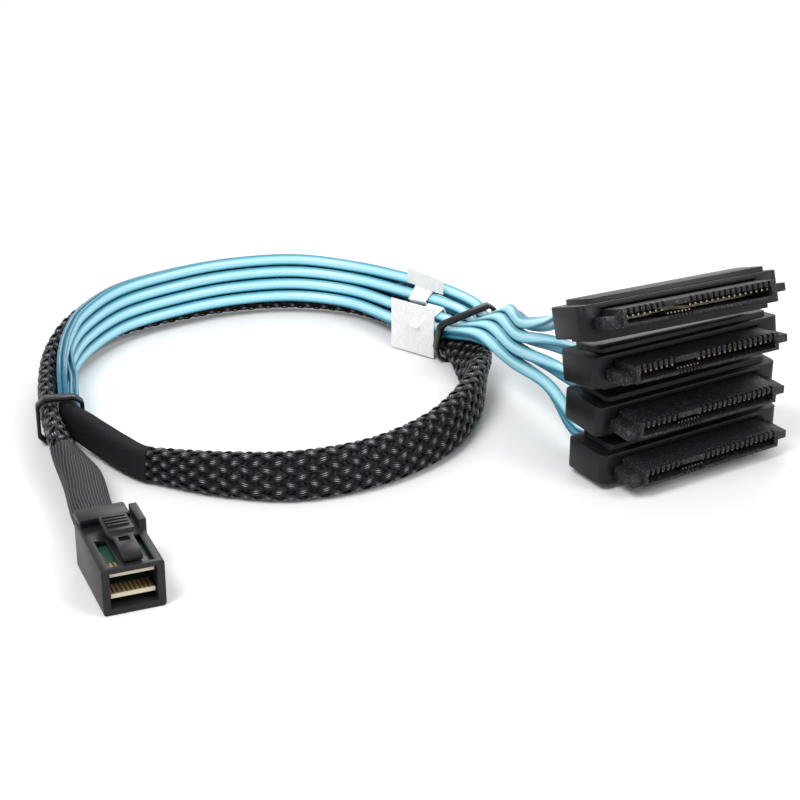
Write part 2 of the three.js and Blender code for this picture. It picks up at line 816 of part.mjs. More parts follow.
function standingLabel() {
    const collar = paperCollar(1, upperCollarFrom, upperCollarTo);
    const { point, along } = collar.frame;
    const flat = new THREE.Vector2(along.x, along.y).normalize();
    const sheet = (length, bottom, top) => solid(uprightSheet(
        [point.x - flat.x * length / 2, point.y - flat.y * length / 2],
        [point.x + flat.x * length / 2, point.y + flat.y * length / 2],
        bottom, top
    ));
    return geometryOf(
        collar.outside.subtract(collar.inside)
            .add(sheet(stripRun, point.z + 1.9, point.z + 3))
            .add(sheet(upperFlagLength, point.z + flagLift, upperFlagTop))
    );
}

function hangingLabel() {
    const collar = paperCollar(2, lowerCollarFrom, lowerCollarTo);
    const face = collar.thin + paper;
    const far = face + flagStandOff;
    return geometryOf(
        collar.outside
            .add(solid(boxInFrame(collar.frame, -1.2, 1.2, -far - paper, -face + paper / 2, stripRun)))
            .subtract(collar.inside)
            .add(solid(boxInFrame(collar.frame, stripEnd, 1.2, -far - paper, -far, stripRun)))
            .add(solid(uprightSheet(lowerFlagStart, lowerFlagEnd, lowerFlagBottom, lowerFlagTop)))
    );
}

addPiece(cable, 'label_2', standingLabel(), colours.paper, 0.8, 0);
addPiece(cable, 'label_3', hangingLabel(), colours.paper, 0.8, 0);

// Ties: a closed band around everything at its station
function offsetOutline(points, distance) {
    const count = points.length;
    return points.map((point, i) => {
        const before = points[(i + count - 1) % count];
        const after = points[(i + 1) % count];
        const inDirection = new THREE.Vector2(point[0] - before[0], point[1] - before[1]).normalize();
        const outDirection = new THREE.Vector2(after[0] - point[0], after[1] - point[1]).normalize();
        const normal = new THREE.Vector2(inDirection.y + outDirection.y, -inDirection.x - outDirection.x);
        normal.normalize();
        const stretch = Math.max(0.5, normal.x * inDirection.y - normal.y * inDirection.x);
        return [point[0] + normal.x * distance / stretch, point[1] + normal.y * distance / stretch];
    });
}

function tieBandAt(station, inner) {
    const frame = frameOn(trunkFrames, station);
    const shape = outlineShape(offsetOutline(inner, tieWall));
    shape.holes.push(new THREE.Path(inner.map((point) => new THREE.Vector2(point[0], point[1]))));
    const geometry = new THREE.ExtrudeGeometry(shape, { depth: tieBand, bevelEnabled: false });
    geometry.translate(0, 0, -tieBand / 2);
    const matrix = new THREE.Matrix4().makeBasis(
        frame.wide, frame.thin, frame.along.clone().negate()
    );
    matrix.setPosition(frame.point);
    geometry.applyMatrix4(matrix);
    return outward(geometry);
}

const leftTieInner = [
    [3.2, 2.1], [-3.2, 2.1], [-4.35, 0.9], [-4.35, -4.8],
    [-3.2, -6.3], [3.2, -6.3], [4.35, -4.9], [4.35, 0.9]
];
addPiece(cable, 'tie_left', tieBandAt(leftTieStation, leftTieInner), colours.tie, 0.3, 0);

const rightTieInner = [
    [4.8, 2.5], [-4.4, 2.5], [-5.8, 1.0], [-5.8, -1.0], [-3.8, -5.3],
    [-2.8, -5.8], [8.0, -5.8], [8.9, -4.8], [8.7, -2.4], [6.2, 1.2]
];
addPiece(cable, 'tie_right', tieBandAt(rightTieStation, rightTieInner), colours.tie, 0.3, 0);

export default cable;
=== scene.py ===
import math
import bmesh
import bpy
from mathutils import Matrix, Vector


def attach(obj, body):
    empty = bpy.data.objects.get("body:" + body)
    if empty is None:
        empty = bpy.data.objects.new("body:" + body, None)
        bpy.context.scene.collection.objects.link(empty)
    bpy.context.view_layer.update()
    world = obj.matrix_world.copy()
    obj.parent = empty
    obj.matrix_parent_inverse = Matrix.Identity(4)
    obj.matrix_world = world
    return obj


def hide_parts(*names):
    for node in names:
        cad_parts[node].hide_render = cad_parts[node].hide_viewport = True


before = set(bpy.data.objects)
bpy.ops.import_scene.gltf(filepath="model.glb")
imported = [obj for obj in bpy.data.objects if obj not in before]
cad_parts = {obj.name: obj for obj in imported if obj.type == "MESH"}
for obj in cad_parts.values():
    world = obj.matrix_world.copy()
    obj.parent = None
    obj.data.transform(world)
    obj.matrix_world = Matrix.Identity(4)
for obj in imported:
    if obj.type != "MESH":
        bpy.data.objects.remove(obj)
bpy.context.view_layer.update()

MM = 0.001

# Camera at the photograph's angle
camera_data = bpy.data.cameras.new("camera")
camera_data.sensor_width = 36.0
camera_data.lens = 87.3
camera_data.clip_start = 0.01
camera = bpy.data.objects.new("camera", camera_data)
camera.location = (-0.0101, -0.334, 0.175)
camera.rotation_euler = (math.radians(65.5), 0.0, 0.0)
bpy.context.collection.objects.link(camera)
bpy.context.scene.camera = camera

# Routes
# The trunk: x, y, z, outward tilt in degrees, width, thickness, all in millimetres
TRUNK_ROWS = [
    (-64.70, -19.34, 4.60, 90, 8.0, 5.4),
    (-68.00, -10.80, 4.60, 90, 8.0, 5.4),
    (-71.60, 1.80, 4.70, 80, 8.0, 5.2),
    (-75.60, 11.60, 4.90, 45, 8.0, 5.0),
    (-79.40, 20.40, 5.20, 10, 8.2, 4.3),
    (-82.20, 28.50, 5.30, 0, 8.0, 3.6),
    (-85.00, 41.20, 5.00, 0, 9.2, 4.0),
    (-86.50, 57.00, 5.05, 0, 9.8, 4.0),
    (-84.30, 71.90, 5.40, 5, 10.6, 4.0),
    (-77.20, 85.30, 5.85, 10, 11.4, 4.0),
    (-64.80, 95.50, 5.90, 15, 11.7, 3.9),
    (-50.90, 102.60, 5.80, 20, 11.8, 3.8),
    (-35.00, 105.20, 5.70, 25, 11.8, 3.8),
    (-19.40, 101.20, 5.40, 30, 11.6, 3.8),
    (-6.60, 90.40, 4.80, 45, 11.2, 3.9),
    (0.60, 79.60, 4.75, 62, 10.8, 4.0),
    (5.00, 69.50, 4.00, 76, 10.2, 4.2),
    (6.30, 59.50, 3.80, 50, 9.1, 4.4),
    (6.30, 49.00, 4.80, 6, 9.3, 4.9),
    (3.90, 36.00, 5.15, -10, 10.1, 5.0),
    (-2.90, 21.60, 5.10, -16, 10.1, 5.0),
    (-14.70, 10.00, 5.00, -16, 9.9, 5.0),
    (-29.90, 3.80, 5.00, -16, 9.9, 5.0),
    (-44.80, 5.40, 4.55, -12, 8.9, 5.0),
    (-56.90, 10.00, 3.85, -6, 7.4, 4.9),
    (-61.50, 11.90, 3.75, 0, 7.0, 4.6),
    (-65.90, 16.00, 3.95, 0, 7.2, 4.6),
    (-69.60, 20.00, 4.20, 0, 7.3, 4.4),
    (-74.20, 24.80, 4.80, 0, 7.4, 3.9),
    (-78.60, 29.35, 5.30, 0, 7.4, 3.3),
    (-79.25, 32.70, 5.30, 0, 7.4, 3.6),
]
PLUG_TAPE_END = 3.0
SLEEVE_END = 24.48
TRUNK_END = 30.0

# Trunk station, heights of leads 1 to 4 on the tilt, column shift of leads 2 and 4, label
LEAD_ROWS = [
    (5.42, 1.45, 1.45, -1.45, -1.45, 2.3, 0),
    (5.75, 3.60, 1.70, -1.20, -2.30, 2.3, 0),
    (6.15, 5.30, 2.40, -0.50, -3.40, 2.3, 0),
    (6.60, 5.50, 2.60, -0.30, -3.20, 1.3, 0),
    (7.20, 5.95, 3.05, 0.15, -2.75, 0.0, 0),
    (8.00, 6.15, 3.25, 0.35, -2.55, 0.0, 0),
    (9.00, 6.05, 3.15, 0.25, -2.65, 0.0, 0),
    (10.00, 5.95, 3.05, 0.15, -2.75, 0.0, 0),
    (11.00, 5.85, 2.95, 0.05, -2.85, 0.0, 0),
    (12.00, 5.65, 2.75, -0.15, -3.05, 0.0, 0),
    (13.00, 5.15, 2.25, -0.65, -3.55, 0.0, 0),
    (14.00, 5.75, 2.30, -1.55, -4.90, 0.0, 1),
    (14.50, 6.25, 2.80, -1.20, -4.65, 0.0, 1),
    (15.00, 6.85, 3.40, -0.60, -4.05, 0.0, 1),
    (15.35, 7.25, 3.85, -0.15, -3.55, 0.0, 1),
    (15.70, 6.90, 3.95, 1.00, -1.95, 0.0, 0),
]
FAN_STACKS = [
    ((11.2, 64.9, 11.7), (0.72, 0.44, 0.53), 2.9),
    ((15.7, 51.5, 13.0), (0.25, 0.20, 0.947), 2.9),
]
FAN_POINTS = [(20.8, 37.0, 23.3), (21.0, 37.0, 19.0), (21.2, 37.0, 14.0), (21.3, 37.0, 8.9)]
FAN_WIDE = (0.75, 0.25, 0.60)
# Drive connectors: front left bottom corner, yaw and nose-up pitch
CONNECTOR_ROWS = [
    ((24.6, 2.3, 34.2), 26.1, 20.6),
    ((27.6, 6.1, 22.1), 29.6, 10.6),
    ((28.7, 8.7, 10.6), 31.4, -1.6),
    ((29.8, 6.3, 1.3), 32.3, 0.0),
]
RIBBON_WIDTH = 2.6
RIBBON_THICKNESS = 0.9
RIBBON_PITCH = 1.15
FAN_SPREAD = 1.35


def smooth_row(rows, station):
    """Smooth curve through rows of numbers, one row to a whole station."""
    last = len(rows) - 1
    index = min(max(math.floor(station), 0), last - 1)
    t = station - index
    b, c = rows[index], rows[index + 1]
    a = rows[index - 1] if index > 0 else [2 * v - w for v, w in zip(b, c)]
    d = rows[index + 2] if index + 2 <= last else [2 * v - w for v, w in zip(c, b)]
    out = []
    for av, bv, cv, dv in zip(a, b, c, d):
        start_slope = (cv - av) / 2
        end_slope = (dv - bv) / 2
        cubic = 2 * bv - 2 * cv + start_slope + end_slope
        square = -3 * bv + 3 * cv - 2 * start_slope - end_slope
        out.append(((cubic * t + square) * t + start_slope) * t + bv)
    return out


def frame_on(rows, station):
    """Point, run, wide side, thin side, width and thickness of a route at a station."""
    row = smooth_row(rows, station)
    before = Vector(smooth_row(rows, station - 0.02)[:3])
    after = Vector(smooth_row(rows, station + 0.02)[:3])
    along = (after - before).normalized()
    wide = Vector(row[3:6])
    wide = (wide - along * wide.dot(along)).normalized()
    return Vector(row[:3]), along, wide, wide.cross(along), row[6], row[7]


def even_stations(rows, start, end, step):
    """Stations from start to end at even steps of length, in millimetres."""
    fine = 1200
    lengths = [0.0]
    previous = Vector(smooth_row(rows, start)[:3])
    for i in range(1, fine + 1):
        point = Vector(smooth_row(rows, start + (end - start) * i / fine)[:3])
        lengths.append(lengths[-1] + (point - previous).length)
        previous = point
    count = max(2, round(lengths[fine] / step))
    stations = [start]
    i = 0
    for k in range(1, count):
        wanted = lengths[fine] * k / count
        while lengths[i + 1] < wanted:
            i += 1
        part = (wanted - lengths[i]) / (lengths[i + 1] - lengths[i])
        stations.append(start + (end - start) * (i + part) / fine)
    return stations + [end], lengths[fine]


def trunk_frame_rows():
    rows = []
    last = len(TRUNK_ROWS) - 1
    for i, row in enumerate(TRUNK_ROWS):
        before, after = TRUNK_ROWS[max(i - 1, 0)], TRUNK_ROWS[min(i + 1, last)]
        along = Vector((after[0] - before[0], after[1] - before[1], 0)).normalized()
        outside = Vector((0, 0, 1)).cross(along)
        tilt = math.radians(row[3])
        wide = outside * math.sin(tilt) + Vector((0, 0, 1)) * math.cos(tilt)
        rows.append([*row[:3], *wide, row[4], row[5]])
    return rows


TRUNK = trunk_frame_rows()


def connector_matrix(lead):
    corner, yaw, pitch = CONNECTOR_ROWS[lead]
    turn = Matrix.Rotation(math.radians(yaw), 4, "Z") @ Matrix.Rotation(-math.radians(pitch), 4, "X")
    return Matrix.Translation(Vector(corner)) @ turn


def lead_rows(lead):
    rows = []
    for row in LEAD_ROWS:
        point, _, wide, thin, _, thickness = frame_on(TRUNK, row[0])
        shifted = row[5] if lead % 2 == 1 else 0.0
        inward = thickness / 2 + 0.4 + 0.5 * row[6] + RIBBON_THICKNESS / 2 + RIBBON_PITCH / 2 + shifted
        place = point + wide * row[1 + lead] - thin * inward
        rows.append([*place, *wide, 1.0, 1.0])
    for middle, stack, pitch in FAN_STACKS:
        direction = Vector(stack).normalized()
        place = Vector(middle) + direction * ((1.5 - lead) * pitch)
        rows.append([*place, *direction, 1.0, FAN_SPREAD])
    rows.append([*FAN_POINTS[lead], *FAN_WIDE, 1.0, FAN_SPREAD])
    turn = connector_matrix(lead)
    side = turn.col[0].to_3d()
    for reach in (19.6, 13.6):
        place = turn @ Vector((7.75, reach, 3.15))
        rows.append([*place, *side, 1.0, FAN_SPREAD])
    return rows


LEADS = [lead_rows(lead) for lead in range(4)]


# Meshes
def new_piece(name, vertices, faces):
    mesh = bpy.data.meshes.new(name)
    mesh.from_pydata([Vector(v) * MM for v in vertices], [], faces)
    mesh.update()
    shape = bmesh.new()
    shape.from_mesh(mesh)
    bmesh.ops.recalc_face_normals(shape, faces=shape.faces)
    shape.to_mesh(mesh)
    shape.free()
    for polygon in mesh.polygons:
        polygon.use_smooth = True
    obj = bpy.data.objects.new(name, mesh)
    bpy.context.collection.objects.link(obj)
    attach(obj, "cable")
    return obj


def tube(name, rings):
    """Closed skin over rings of points that all have the same count."""
    sides = len(rings[0])
    vertices = [point for ring in rings for point in ring]
    faces = []
    for i in range(len(rings) - 1):
        for k in range(sides):
            n = (k + 1) % sides
            faces.append((i * sides + k, i * sides + n, (i + 1) * sides + n, (i + 1) * sides + k))
    faces.append(tuple(range(sides)))
    faces.append(tuple((len(rings) - 1) * sides + k for k in range(sides)))
    return new_piece(name, vertices, faces)


def paint_run(obj, rings, lengths, arounds):
    """UV map: U is the length along the run in millimetres, V is the place across from 0 to 1."""
    sides = len(rings[0])
    layer = obj.data.uv_layers.new(name="run")
    for polygon in obj.data.polygons:
        corners = list(polygon.loop_indices)
        picks = [obj.data.loops[c].vertex_index for c in corners]
        around = [arounds[p % sides] for p in picks]
        if max(around) - min(around) > 0.5:
            around = [a + 1.0 if a < 0.5 else a for a in around]
        for corner, pick, value in zip(corners, picks, around):
            layer.data[corner].uv = (lengths[pick // sides], value)


OVAL_FULLNESS = 0.66
USUAL_WIDTH = 10.0
USUAL_THICKNESS = 4.3


def full(value):
    """Sine or cosine made fuller, for an oval with flatter sides."""
    return 0.5 * math.copysign(abs(value) ** OVAL_FULLNESS, value)


def oval(sides):
    """Outline of a flat oval one wide and one thick, evenly spaced by length at the usual size."""
    fine = 720
    points = []
    for i in range(fine):
        angle = 2 * math.pi * i / fine
        points.append((full(math.cos(angle)), full(math.sin(angle))))
    lengths = [0.0]
    for i in range(fine):
        a, b = points[i], points[(i + 1) % fine]
        run = math.hypot((b[0] - a[0]) * USUAL_WIDTH, (b[1] - a[1]) * USUAL_THICKNESS)
        lengths.append(lengths[-1] + run)
    out, i = [], 0
    for k in range(sides):
        wanted = lengths[fine] * k / sides
        while lengths[i + 1] < wanted:
            i += 1
        t = (wanted - lengths[i]) / (lengths[i + 1] - lengths[i])
        a, b = points[i], points[(i + 1) % fine]
        out.append((a[0] + (b[0] - a[0]) * t, a[1] + (b[1] - a[1]) * t))
    return out


OVAL_STEPS = 480
OVAL = oval(OVAL_STEPS)


def oval_point(frame_here, around, lift):
    """Point on the trunk's oval at a share of the way around, raised by lift millimetres."""
    point, _, wide, thin, width, thickness = frame_here
    k = (around % 1.0) * OVAL_STEPS
    i = int(k) % OVAL_STEPS
    t = k - int(k)
    a, b = OVAL[i], OVAL[(i + 1) % OVAL_STEPS]
    x = (a[0] + (b[0] - a[0]) * t) * width
    y = (a[1] + (b[1] - a[1]) * t) * thickness
    before, after = OVAL[i - 3], OVAL[(i + 4) % OVAL_STEPS]
    run = Vector(((after[0] - before[0]) * width, (after[1] - before[1]) * thickness))
    outward = Vector((run.y, -run.x)).normalized()
    return point + wide * (x + outward.x * lift) + thin * (y + outward.y * lift)


def trunk_tube(name, start, end, step, sides, lift):
    stations, length = even_stations(TRUNK, start, end, step)
    rings = []
    for station in stations:
        here = frame_on(TRUNK, station)
        rings.append([oval_point(here, k / sides, lift) for k in range(sides)])
    obj = tube(name, rings)
    lengths = [length * i / (len(stations) - 1) for i in range(len(stations))]
    paint_run(obj, rings, lengths, [k / sides for k in range(sides)])
    return obj, stations, length


# Trunk: a dark core for its whole length
CORE_STEP = 2.0
CORE_SIDES = 32
CORE_LIFT = -0.75
core, core_stations, core_length = trunk_tube(
    "trunk_core", 0.0, TRUNK_END, CORE_STEP, CORE_SIDES, CORE_LIFT
)

# Braid: strands in both directions that pass over and under each other
STRANDS = 8
STRAND_LEAD = 33.6
STRAND_HALF = 0.86
STRAND_STEP = 0.75
STRAND_CROSS = [
    (-1.0, 0.0), (-0.55, 0.16), (0.55, 0.16), (1.0, 0.0), (0.55, -0.16), (-0.55, -0.16)
]
STRAND_MIDDLE = -0.42
STRAND_WAVE = 0.24
BRAID_STEP = 0.55
OVAL_SHARE = 0.87


def braid(name, hand):
    start, end = PLUG_TAPE_END + 0.05, SLEEVE_END - 0.02
    stations, length = even_stations(TRUNK, start, end, BRAID_STEP)
    frames = [frame_on(TRUNK, s) for s in stations]
    vertices, faces, lifts, runs = [], [], [], []
    for strand in range(STRANDS):
        base = len(vertices)
        for i, here in enumerate(frames):
            s = length * i / (len(frames) - 1)
            phase = math.pi * (2 * s * STRANDS / STRAND_LEAD + (0 if hand > 0 else 1))
            # A strand runs straight where it lies over, and steps sideways where it lies under
            step = STRAND_STEP * math.sin(phase) / (2 * math.pi * STRANDS)
            around = strand / STRANDS + hand * (s / STRAND_LEAD - step)
            wave = math.cos(phase)
            circumference = 2 * (here[4] + here[5]) * OVAL_SHARE
            slope = math.atan2(circumference, STRAND_LEAD)
            ring_share = STRAND_HALF / math.cos(slope) / circumference
            lift = STRAND_MIDDLE + STRAND_WAVE * wave
            for across, rise in STRAND_CROSS:
                vertices.append(oval_point(here, around + across * ring_share, lift + rise))
                lifts.append(0.5 + 0.5 * wave)
                runs.append((s, (across + 1) / 2))
        sides = len(STRAND_CROSS)
        for i in range(len(frames) - 1):
            for k in range(sides):
                n = (k + 1) % sides
                low, high = base + i * sides, base + (i + 1) * sides
                faces.append((low + k, low + n, high + n, high + k))
        faces.append(tuple(base + k for k in range(sides)))
        faces.append(tuple(base + (len(frames) - 1) * sides + k for k in range(sides)))
    obj = new_piece(name, vertices, faces)
    lift_layer = obj.data.attributes.new("lift", "FLOAT", "POINT")
    for i, value in enumerate(lifts):
        lift_layer.data[i].value = value
    layer = obj.data.uv_layers.new(name="run")
    for loop in obj.data.loops:
        layer.data[loop.index].uv = runs[loop.vertex_index]
    return obj


braid_right = braid("braid_strands_right", 1)
braid_left = braid("braid_strands_left", -1)

# Cloth tapes over both ends of the sleeve
TAPE_STEP = 0.7
TAPE_SIDES = 64
TAPE_LIFT = -0.02
tape_plug, _, _ = trunk_tube(
    "tape_plug_end", 0.0, PLUG_TAPE_END + 0.1, TAPE_STEP, TAPE_SIDES, TAPE_LIFT
)
tape_breakout, _, _ = trunk_tube(
    "tape_breakout_end", SLEEVE_END, TRUNK_END, TAPE_STEP, TAPE_SIDES, TAPE_LIFT
)

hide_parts("braided_sleeve")
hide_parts("cloth_tape_plug_end")
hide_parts("cloth_tape_breakout_end")

# Ribbons, two to a lead
def ribbon_section():
    """Outline of a flat ribbon with round corners, four points to a corner."""
    radius = RIBBON_THICKNESS * 0.42
    x, y = RIBBON_WIDTH / 2 - radius, RIBBON_THICKNESS / 2 - radius
    points = []
    for middle_x, middle_y, start in ((x, y, 0), (-x, y, 90), (-x, -y, 180), (x, -y, 270)):
        for step in range(4):
            angle = math.radians(start + 30 * step)
            points.append((middle_x + radius * math.cos(angle), middle_y + radius * math.sin(angle)))
    return points


RIBBON_SECTION = ribbon_section()
RIBBON_STEP = 1.2
# The place across a ribbon runs from 0 to this value in its UV map
ACROSS_END = 0.4
ACROSS_MIDDLE = ACROSS_END / 2

ribbons = []
for lead, rows in enumerate(LEADS):
    stations, length = even_stations(rows, 0, len(rows) - 1, RIBBON_STEP)
    for letter, side in (("a", 1), ("b", -1)):
        rings, path = [], []
        for station in stations:
            point, _, wide, thin, _, spread = frame_on(rows, station)
            middle = point + thin * (side * RIBBON_PITCH / 2 * spread)
            rings.append([middle + wide * x + thin * y for x, y in RIBBON_SECTION])
            path.append(middle * MM)
        name = f"ribbon_{lead + 1}{letter}"
        obj = tube("flat_" + name, rings)
        lengths = [length * i / (len(stations) - 1) for i in range(len(stations))]
        across = [(x / RIBBON_WIDTH + 0.5) * ACROSS_END for x, y in RIBBON_SECTION]
        paint_run(obj, rings, lengths, across)
        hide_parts(name)
        real = sum((b - a).length for a, b in zip(path, path[1:]))
        ribbons.append((obj, path, real))

# CAD copies with softened edges
def softened(node, name, width, body="cable", segments=2, flatten=True):
    """Copy of a CAD node, merged, with its flat faces joined and its edges bevelled."""
    source = bpy.data.objects[node]
    obj = source.copy()
    obj.data = source.data.copy()
    obj.name = name
    obj.data.name = name
    obj.animation_data_clear()
    obj.parent = None
    for key in list(obj.keys()):
        del obj[key]
    bpy.context.collection.objects.link(obj)
    obj.data.materials.clear()
    shape = bmesh.new()
    shape.from_mesh(obj.data)
    bmesh.ops.remove_doubles(shape, verts=shape.verts, dist=0.00001)
    if flatten:
        bmesh.ops.dissolve_limit(
            shape, angle_limit=math.radians(2), verts=shape.verts, edges=shape.edges
        )
    shape.to_mesh(obj.data)
    shape.free()
    bpy.ops.object.select_all(action="DESELECT")
    obj.select_set(True)
    bpy.context.view_layer.objects.active = obj
    bevel = obj.modifiers.new("edges", "BEVEL")
    bevel.width = width * MM
    bevel.segments = segments
    bevel.limit_method = "ANGLE"
    bevel.angle_limit = math.radians(32)
    bevel.harden_normals = False
    bpy.ops.object.modifier_apply(modifier="edges")
    bpy.ops.object.shade_smooth_by_angle(angle=math.radians(40))
    obj.select_set(False)
    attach(obj, body)
    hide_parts(node)
    return obj


plug_body = softened("plug_shell", "plug_body", 0.16)
plug_lid = softened("plug_cover", "plug_lid", 0.18)
lever = softened("latch_lever", "thumb_lever", 0.12, body="latch")
relief = softened("strain_relief", "cable_relief", 0.2)
strap_left = softened("tie_left", "strap_left", 0.22, flatten=False)
strap_right = softened("tie_right", "strap_right", 0.22, flatten=False)
flag_upper = softened("label_2", "paper_label_upper", 0.05)
flag_lower = softened("label_3", "paper_label_lower", 0.05)
housings = [softened(f"drive_housing_{k}", f"housing_{k}", 0.18) for k in range(1, 5)]
noses = [softened(f"drive_receptacle_{k}", f"nose_{k}", 0.07) for k in range(1, 5)]


# Materials
def shade(name):
    material = bpy.data.materials.new(name)
    material.use_nodes = True
    tree = material.node_tree
    tree.nodes.clear()
    out = tree.nodes.new("ShaderNodeOutputMaterial")
    bsdf = tree.nodes.new("ShaderNodeBsdfPrincipled")
    tree.links.new(bsdf.outputs[0], out.inputs[0])
    return material, tree, bsdf


def node(tree, kind, **values):
    made = tree.nodes.new(kind)
    for key, value in values.items():
        setattr(made, key, value)
    return made


def ramp(tree, source, stops):
    made = tree.nodes.new("ShaderNodeValToRGB")
    first, last = made.color_ramp.elements[0], made.color_ramp.elements[1]
    first.position, first.color = stops[0][0], (*stops[0][1], 1)
    last.position, last.color = stops[-1][0], (*stops[-1][1], 1)
    for place, colour in stops[1:-1]:
        made.color_ramp.elements.new(place).color = (*colour, 1)
    tree.links.new(source, made.inputs[0])
    return made.outputs[0]


def grey(value):
    return (value, value, value)


def noise(tree, scale, detail=3.0):
    made = node(tree, "ShaderNodeTexNoise")
    made.inputs["Scale"].default_value = scale
    made.inputs["Detail"].default_value = detail
    coordinates = node(tree, "ShaderNodeTexCoord")
    tree.links.new(coordinates.outputs["Object"], made.inputs["Vector"])
    return made.outputs[0]


def maths(tree, operation, a, b=None):
    made = node(tree, "ShaderNodeMath", operation=operation)
    for socket, value in zip(made.inputs, (a, b)):
        if value is None:
            continue
        if isinstance(value, (int, float)):
            socket.default_value = value
        else:
            tree.links.new(value, socket)
    return made.outputs[0]


def bump(tree, bsdf, height, distance, strength=1.0):
    made = node(tree, "ShaderNodeBump")
    made.inputs["Distance"].default_value = distance * MM
    made.inputs["Strength"].default_value = strength
    tree.links.new(height, made.inputs["Height"])
    tree.links.new(made.outputs[0], bsdf.inputs["Normal"])


def run_map(tree):
    """Length along the run in millimetres, and the place across or around it."""
    uv = node(tree, "ShaderNodeUVMap", uv_map="run")
    split = node(tree, "ShaderNodeSeparateXYZ")
    tree.links.new(uv.outputs[0], split.inputs[0])
    return split.outputs[0], split.outputs[1]


# Patterns on the finishes: counts around or across a piece, and lengths in millimetres
TAPE_RIDGES = 36
TAPE_PICK = 0.42
WARP_THREADS = 40
WEFT_PITCH = 0.6
FILAMENT_WAVE = 31.4
WIRE_WAVE = 31.4
PAD_PITCH = 0.8
PAD_END = 4.6
CARD_EDGE_END = 1.25


def make_cloud_and_grain():
    """Node group with a slow cloud and a fine grain, shared by plastic, metal and paper."""
    group = bpy.data.node_groups.new("cloud_and_grain", "ShaderNodeTree")
    for label in ("Cloud Scale", "Grain Scale", "Grain Detail"):
        group.interface.new_socket(name=label, in_out="INPUT", socket_type="NodeSocketFloat")
    for label in ("Cloud", "Grain"):
        group.interface.new_socket(name=label, in_out="OUTPUT", socket_type="NodeSocketFloat")
    entry = node(group, "NodeGroupInput")
    way_out = node(group, "NodeGroupOutput")
    cloud = noise(group, 1.0)
    grain = noise(group, 1.0)
    group.links.new(entry.outputs["Cloud Scale"], cloud.node.inputs["Scale"])
    group.links.new(entry.outputs["Grain Scale"], grain.node.inputs["Scale"])
    group.links.new(entry.outputs["Grain Detail"], grain.node.inputs["Detail"])
    group.links.new(cloud, way_out.inputs["Cloud"])
    group.links.new(grain, way_out.inputs["Grain"])
    return group


CLOUD_AND_GRAIN = make_cloud_and_grain()


def cloud_and_grain(tree, cloud_scale, grain_scale, grain_detail=3.0):
    made = node(tree, "ShaderNodeGroup", node_tree=CLOUD_AND_GRAIN)
    made.inputs["Cloud Scale"].default_value = cloud_scale
    made.inputs["Grain Scale"].default_value = grain_scale
    made.inputs["Grain Detail"].default_value = grain_detail
    return made.outputs["Cloud"], made.outputs["Grain"]


def plastic(name, dark, light, roughness, grain=2600.0, depth=0.02):
    material, tree, bsdf = shade(name)
    cloud, fine = cloud_and_grain(tree, 180.0, grain, 2.0)
    tree.links.new(ramp(tree, cloud, [(0.3, dark), (0.7, light)]), bsdf.inputs["Base Color"])
    rough = node(tree, "ShaderNodeMapRange")
    rough.inputs["To Min"].default_value = roughness - 0.08
    rough.inputs["To Max"].default_value = roughness + 0.08
    tree.links.new(fine, rough.inputs["Value"])
    tree.links.new(rough.outputs[0], bsdf.inputs["Roughness"])
    bsdf.inputs["Specular IOR Level"].default_value = 0.24
    bump(tree, bsdf, fine, depth)
    return material


plug_plastic = plastic("charcoal_plastic", (0.010, 0.010, 0.011), (0.017, 0.017, 0.019), 0.42)
black_plastic = plastic("black_plastic", (0.004, 0.004, 0.005), (0.008, 0.008, 0.010), 0.40)
strap_plastic = plastic("strap_plastic", (0.003, 0.003, 0.0035), (0.006, 0.006, 0.007), 0.24, 900.0, 0.03)


def grained_nose():
    """Dark plastic with the sparkling grain of a filled resin."""
    material, tree, bsdf = shade("grained_plastic")
    speck = noise(tree, 3200.0, 2.0)
    tree.links.new(
        ramp(tree, speck, [
            (0.42, (0.006, 0.006, 0.007)),
            (0.60, (0.016, 0.016, 0.018)),
            (0.70, (0.10, 0.10, 0.105)),
        ]),
        bsdf.inputs["Base Color"],
    )
    bsdf.inputs["Roughness"].default_value = 0.46
    bsdf.inputs["Specular IOR Level"].default_value = 0.24
    bump(tree, bsdf, speck, 0.03)
    return material


nose_plastic = grained_nose()


def core_material():
    material, tree, bsdf = shade("core_dark")
    colour = ramp(tree, noise(tree, 900.0), [(0.3, grey(0.006)), (0.7, grey(0.014))])
    tree.links.new(colour, bsdf.inputs["Base Color"])
    bsdf.inputs["Roughness"].default_value = 0.8
    return material


